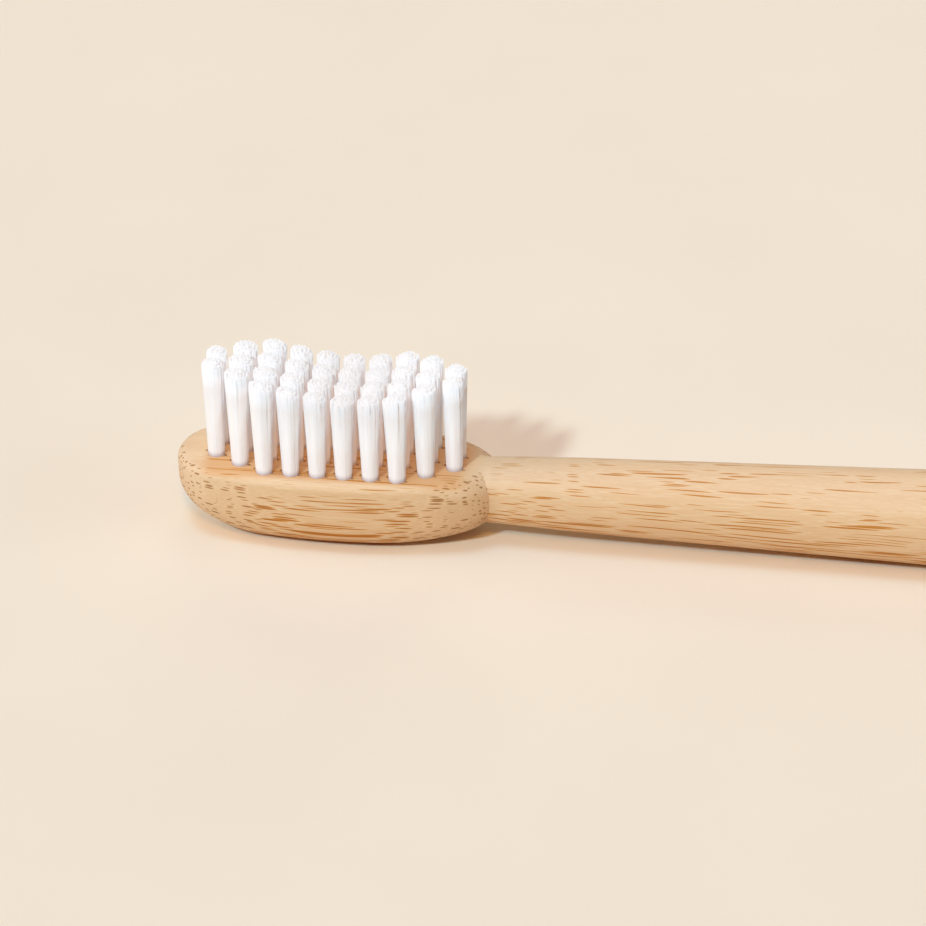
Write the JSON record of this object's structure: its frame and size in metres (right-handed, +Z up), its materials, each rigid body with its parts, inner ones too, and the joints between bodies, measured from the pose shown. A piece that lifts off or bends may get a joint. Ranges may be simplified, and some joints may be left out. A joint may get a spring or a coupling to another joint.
{
  "type": "manual toothbrush",
  "caption": "Manual toothbrush with a round turned bamboo handle and an oval head that holds anchored nylon tufts trimmed to a shallow wave.",
  "frame": {"origin": "middle of the brush's length, on the surface that it lies on", "axes": "+X from the tip of the head to the butt of the handle, +Y across the head, +Z up, the way the bristles point"},
  "size_m": [0.18, 0.0116, 0.0171],
  "materials": {
    "bamboo": "fine sanded bare bamboo with darker fibre streaks",
    "nylon": "white translucent nylon filament",
    "anchor_metal": "flat drawn wire"
  },
  "bodies": {
    "root": {"handle": "bamboo", "anchor_wires": "anchor_metal", "tuft_c01_r1": "nylon", "tuft_c01_r2": "nylon", "tuft_c02_r1": "nylon", "tuft_c02_r2": "nylon", "tuft_c02_r3": "nylon", "tuft_c03_r1": "nylon", "tuft_c03_r2": "nylon", "tuft_c03_r3": "nylon", "tuft_c03_r4": "nylon", "tuft_c04_r1": "nylon", "tuft_c04_r2": "nylon", "tuft_c04_r3": "nylon", "tuft_c04_r4": "nylon", "tuft_c05_r1": "nylon", "tuft_c05_r2": "nylon", "tuft_c05_r3": "nylon", "tuft_c05_r4": "nylon", "tuft_c06_r1": "nylon", "tuft_c06_r2": "nylon", "tuft_c06_r3": "nylon", "tuft_c06_r4": "nylon", "tuft_c07_r1": "nylon", "tuft_c07_r2": "nylon", "tuft_c07_r3": "nylon", "tuft_c07_r4": "nylon", "tuft_c08_r1": "nylon", "tuft_c08_r2": "nylon", "tuft_c08_r3": "nylon", "tuft_c08_r4": "nylon", "tuft_c09_r1": "nylon", "tuft_c09_r2": "nylon", "tuft_c09_r3": "nylon", "tuft_c10_r1": "nylon", "tuft_c10_r2": "nylon"}
  },
  "joints": []
}
